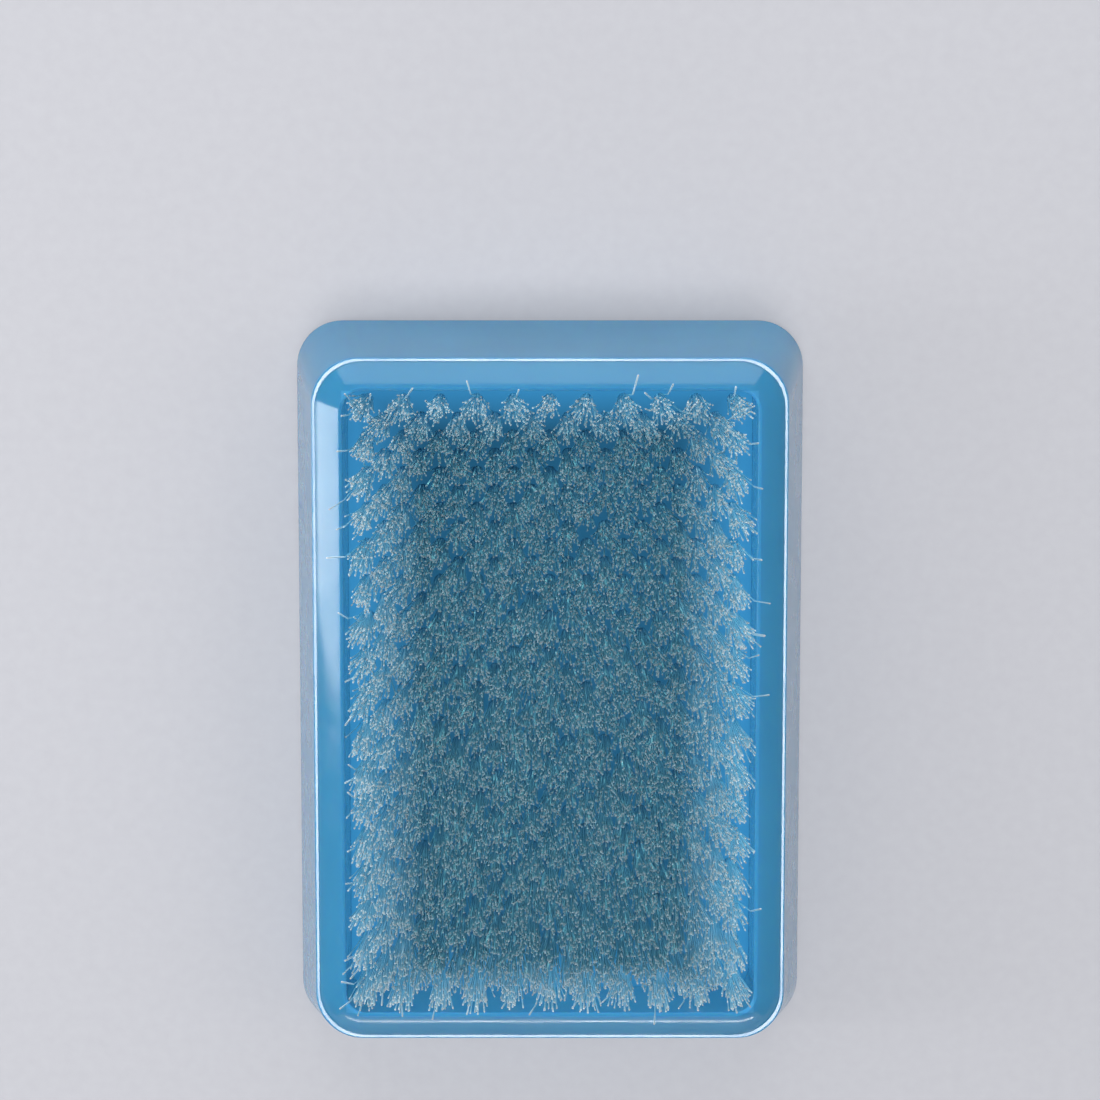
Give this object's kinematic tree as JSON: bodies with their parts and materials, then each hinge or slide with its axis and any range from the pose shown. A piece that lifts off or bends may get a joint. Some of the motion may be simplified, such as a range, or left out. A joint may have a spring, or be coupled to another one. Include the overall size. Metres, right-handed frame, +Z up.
{
  "type": "needle felting mat",
  "caption": "Rectangular brush-type needle felting mat: a moulded tray with leaning walls and a bevelled rim, holding a field of upright nylon tufts that back the wool while it is stabbed.",
  "frame": {"origin": "middle of the underside, on the surface that the mat stands on", "axes": "+Z up out of the bristles, +Y along the mat's length, +X across its width"},
  "size_m": [0.121, 0.173, 0.04],
  "materials": {
    "tray_plastic": "glossy blue moulded plastic",
    "plate_plastic": "satin blue moulded plastic",
    "bristle_nylon": "clear drawn nylon filament with cut tips",
    "screw_steel": "zinc plated"
  },
  "bodies": {
    "root": {"base_tray": "tray_plastic", "brush_plate": "plate_plastic", "bristle_bank_1": "bristle_nylon", "bristle_bank_2": "bristle_nylon", "bristle_bank_3": "bristle_nylon", "bristle_bank_4": "bristle_nylon", "plate_screw_1": "screw_steel", "plate_screw_2": "screw_steel", "plate_screw_3": "screw_steel", "plate_screw_4": "screw_steel", "plate_screw_5": "screw_steel", "plate_screw_6": "screw_steel"}
  },
  "joints": []
}
